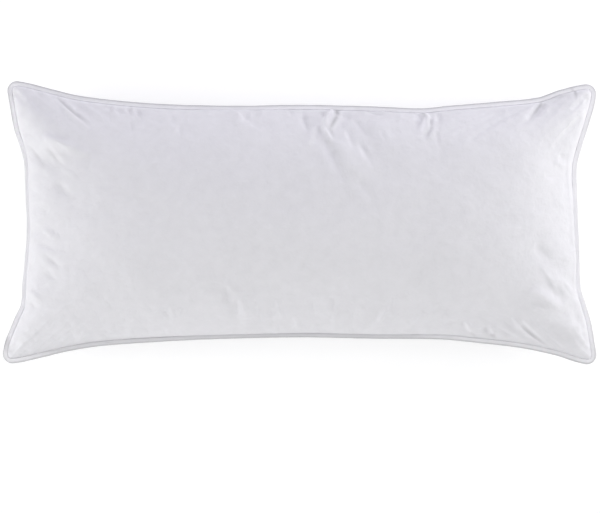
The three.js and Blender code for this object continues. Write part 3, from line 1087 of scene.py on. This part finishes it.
# The strip's two edges are sewn in, so beside the cover it is drawn square and a little up.
LIP_GAP = 0.1 * MM
LIP_SQUARE = 0.35
LIP_RISE = 0.5 * MM

# Slanting ripples of the strip
RIPPLE_WAVES = 60
RIPPLE_LENGTHS = (6 * MM, 60 * MM)
RIPPLE_SLANTS = (-2, 3)
STRIP_CRINKLE = 0.1

# Shares of the piping's painted shade round its rim and lower side, and of the painted light beside the
# cover
INNER_PAINTED_LIGHT = 0.34
SHORT_SIDE_LIGHT = 0.65
LOWER_SHADE = 0.3

# Where each shade starts and is full: by how far the strip looks outwards or up, by how squarely the seam
# looks along the pillow or across it, and by the distance from the pillow's middle, in metres
RIM_OUTWARDS = (0.1, 0.95)
RIM_UPWARDS = (-0.3, 0.1)
INNER_INWARDS = (-0.3, 0.6)
SIDE_SQUARENESS = (0.5, 0.95)
SHORT_SIDE_ENDS = (0.1, 0.15)
LOWER_SIDE_RIGHT_END = (0.13, 0.2)
LOWER_SIDE_LEFT_END = (0.31, 0.35)


def fade(value, limits):
    """From 0 at the lower limit to 1 at the upper one, smoothly."""
    start, end = limits
    share = np.clip((value - start) / (end - start), 0, 1)
    return share * share * (3 - 2 * share)


def strip_shade_and_light(centre, outward, angle):
    """Painted shade round the outside of the cord, most along the lower side, and painted light beside the
    cover.
    """
    outwards = np.cos(angle)
    rim = fade(outwards, RIM_OUTWARDS) * fade(np.sin(angle), RIM_UPWARDS)
    inner = fade(-outwards, INNER_INWARDS)
    short_side = fade(np.abs(outward[:, :1]), SIDE_SQUARENESS)
    short_side = short_side * (1 - fade(np.abs(centre[:, 1:2]), SHORT_SIDE_ENDS))
    lower_side = fade(-outward[:, 1:2], SIDE_SQUARENESS)
    x = centre[:, :1]
    middle = (1 - fade(x, LOWER_SIDE_RIGHT_END)) * (1 - fade(-x, LOWER_SIDE_LEFT_END))
    shaded = rim * (1 - SHORT_SIDE_LIGHT * short_side) + LOWER_SHADE * lower_side * middle * (1 - rim)
    return shaded - INNER_PAINTED_LIGHT * inner * (1 - lower_side * middle)


def bias_ripples(randoms, station, angle, length):
    """Slight slanting ripples of a bias strip round its cord, from about -1 to 1."""
    rise = np.zeros_like(station)
    for _ in range(RIPPLE_WAVES):
        waves = round(length / randoms.uniform(*RIPPLE_LENGTHS))
        slant = randoms.integers(*RIPPLE_SLANTS)
        start = randoms.uniform(0, 2 * math.pi)
        rise += np.sin(2 * np.pi * waves * station / length + slant * angle + start)
    return rise / math.sqrt(RIPPLE_WAVES)


def cord_line(cells_along, cells_across):
    """The cord's middle once round, outside the seam, with the ways out and up from it."""
    u, v = seam_ring(cells_along, cells_across)
    x, y = plan_points(u, v)
    seam = np.stack([x, y, seam_height(u, v)], axis=-1) + middle_shift()
    forward = np.roll(seam, -1, axis=0) - np.roll(seam, 1, axis=0)
    forward /= np.linalg.norm(forward, axis=1, keepdims=True)
    outward = np.cross(forward, [0, 0, 1])
    outward /= np.linalg.norm(outward, axis=1, keepdims=True)
    return seam + outward * (CORD_RADIUS + CORD_CLEARANCE), outward, np.cross(outward, forward)


def strip_section(radius, angle):
    """How far out and up from the cord's middle the strip lies: round outside, square beside the cover."""
    out = np.cos(angle)
    up = np.sin(angle)
    inside = out < 0
    reach = np.where(inside, (CORD_RADIUS + CORD_CLEARANCE - LIP_GAP) / CORD_RADIUS, 1)
    square = np.where(inside, LIP_SQUARE, 1)
    rise = radius * np.sign(up) * np.abs(up) ** square
    rise += LIP_RISE * np.where(inside & (rise > 0), out**2, 0)
    return radius * reach * np.sign(out) * np.abs(out) ** square, rise


def tube_net(length, sides):
    """Faces of a closed tube, and the places of their corners on the cloth."""
    stations = len(length) - 1
    i, k = np.meshgrid(np.arange(stations), np.arange(sides), indexing="ij")
    corners = [(i, k + 1), (i + 1, k + 1), (i + 1, k), (i, k)]
    faces = [(station % stations) * sides + side % sides for station, side in corners]
    places = [np.stack([length[station], side / sides], axis=-1) for station, side in corners]
    return np.stack(faces, axis=-1).reshape(-1, 4), np.stack(places, axis=2).reshape(-1, 2)


class PILLOW_OT_piping(bpy.types.Operator):
    """Lay the corded piping along the seam"""

    bl_idname = "pillow.piping"
    bl_label = "Piping"

    def execute(self, context):
        settings = context.scene.pillow_piping
        cover = context.scene.pillow_cover
        centre, outward, upright = cord_line(cover.cells_along * FACE_FINER, cover.cells_across * FACE_FINER)
        steps = np.linalg.norm(np.roll(centre, -1, axis=0) - centre, axis=1)
        length = np.append(0, np.cumsum(steps))
        turn = 2 * np.pi * np.arange(settings.sides) / settings.sides
        station, angle = np.meshgrid(length[:-1], turn, indexing="ij")
        randoms = np.random.default_rng(settings.seed)
        radius = CORD_RADIUS + settings.unevenness * bias_ripples(randoms, station, angle, length[-1])
        out, up = strip_section(radius, angle)
        rings = centre[:, None] + outward[:, None] * out[..., None] + upright[:, None] * up[..., None]
        faces, places = tube_net(length, settings.sides)
        # painted shade round the cord's outside and lower side, and painted light beside the cover
        greyness = settings.rim_shade * strip_shade_and_light(centre, outward, angle)
        # painted shade on the piping's corner puckers
        greyness += crease_rise(PIPING_PUCKER_SHADES, rings[..., 0], rings[..., 1]) / MM
        material = cotton("bias_strip", settings.colour, STRIP_CRINKLE, 2 * math.pi * CORD_RADIUS)
        piece = add_object("piping", rings.reshape(-1, 3), faces.tolist(), material, places, greyness)
        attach(piece, BODY)
        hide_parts("piping")
        return {"FINISHED"}


# Studio

# The camera's sensor in millimetres, the end of its view in metres, and the photo's frame in pixels
SENSOR_WIDTH = 36
CLIP_END = 30
PHOTO_WIDTH = 600
PHOTO_HEIGHT = 513
PILLOW_PIXELS = 595
PILLOW_MIDDLE = (299.5, 222.7)

WHITE = (1, 1, 1)
COOL = (0.86, 0.83, 1)

Lamp = namedtuple("Lamp", "name x y z width depth power colour")

# Soft boxes round the pillow, in metres and watts; each is turned to the pillow's middle.
LAMPS = [
    Lamp("overhead", 0, 0, 2.2, 1.6, 1.6, 12.7, WHITE),
    Lamp("left", -1.3, -0.35, 0.55, 0.8, 1.2, 3.5, WHITE),
    Lamp("right", 1.3, 0.35, 0.55, 0.8, 1.2, 6.1, WHITE),
    Lamp("upper", 0, 1.3, 0.55, 1.8, 0.6, 6.3, COOL),
    Lamp("lower", 0, -1.3, 0.55, 1.8, 0.6, 6.0, WHITE),
    Lamp("left_low", -1.2, 0, 0.25, 0.4, 1, 3.8, WHITE),
    Lamp("right_low", 1.2, 0, 0.25, 0.4, 1, 2.5, WHITE),
]


def soft_box(lamp, aim, share):
    light = bpy.data.lights.new(lamp.name, "AREA")
    light.shape = "RECTANGLE"
    light.size = lamp.width
    light.size_y = lamp.depth
    light.energy = lamp.power * share
    light.color = lamp.colour
    holder = bpy.data.objects.new(lamp.name, light)
    holder.location = (lamp.x, lamp.y, lamp.z)
    holder.rotation_euler = (aim - holder.location).to_track_quat("-Z", "Y").to_euler()
    bpy.context.scene.collection.objects.link(holder)


class PILLOW_OT_studio(bpy.types.Operator):
    """Set up the pale floor, the soft lights and the camera"""

    bl_idname = "pillow.studio"
    bl_label = "Studio"

    def execute(self, context):
        settings = context.scene.pillow_studio
        scene = context.scene
        half = settings.floor_size / 2
        material = Finish("floor_paper").shade(
            Base_Color=(*settings.floor_colour, 1),
            Roughness=MATTNESS,
            Emission_Color=(*WHITE, 1),
            Emission_Strength=settings.floor_glow,
        )
        floor = add_object(
            "floor",
            np.array([(-half, -half, 0), (half, -half, 0), (half, half, 0), (-half, half, 0)]) - [0, 0, MM],
            [(0, 1, 2, 3)],
            material,
        )

        world = bpy.data.worlds.new("room")
        world.use_nodes = True
        background = world.node_tree.nodes["Background"]
        background.inputs["Color"].default_value = (*WHITE, 1)
        background.inputs["Strength"].default_value = settings.room_light
        scene.world = world

        for lamp in LAMPS:
            soft_box(lamp, Vector((0, 0, SEAM_HEIGHT)), settings.lamp_share)

        pixel = 2 * OUTLINE_HALF_LENGTH / PILLOW_PIXELS
        camera = bpy.data.cameras.new("camera")
        camera.sensor_width = SENSOR_WIDTH
        camera.lens = SENSOR_WIDTH * settings.camera_distance / (PHOTO_WIDTH * pixel)
        camera.clip_end = CLIP_END
        holder = bpy.data.objects.new("camera", camera)
        holder.location = (
            (PHOTO_WIDTH / 2 - PILLOW_MIDDLE[0]) * pixel,
            (PILLOW_MIDDLE[1] - PHOTO_HEIGHT / 2) * pixel,
            SEAM_HEIGHT + settings.camera_distance,
        )
        scene.collection.objects.link(holder)
        scene.camera = holder
        scene.view_settings.view_transform = "Standard"
        return {"FINISHED"}


class PILLOW_PT_panel(bpy.types.Panel):
    """Steps of the pillow, in order"""

    bl_label = "Feather pillow"
    bl_idname = "PILLOW_PT_panel"
    bl_space_type = "VIEW_3D"
    bl_region_type = "UI"
    bl_category = "Pillow"

    def draw(self, context):
        for operator in OPERATORS:
            self.layout.operator(operator.bl_idname)
        for name in SETTINGS:
            box = self.layout.box()
            group = getattr(context.scene, name)
            for field in group.bl_rna.properties.keys():
                if field not in ("name", "rna_type"):
                    box.prop(group, field)


SETTINGS = {
    "pillow_cover": CoverSettings,
    "pillow_piping": PipingSettings,
    "pillow_studio": StudioSettings,
}
OPERATORS = (PILLOW_OT_cover, PILLOW_OT_piping, PILLOW_OT_studio)


def register():
    for group in (*SETTINGS.values(), *OPERATORS, PILLOW_PT_panel):
        bpy.utils.register_class(group)
    for name, group in SETTINGS.items():
        setattr(bpy.types.Scene, name, PointerProperty(type=group))


def unregister():
    for name in SETTINGS:
        delattr(bpy.types.Scene, name)
    for group in (PILLOW_PT_panel, *OPERATORS, *SETTINGS.values()):
        bpy.utils.unregister_class(group)


def main():
    register()
    bpy.ops.pillow.cover()
    bpy.ops.pillow.piping()
    bpy.ops.pillow.studio()


if __name__ == "__main__":
    main()
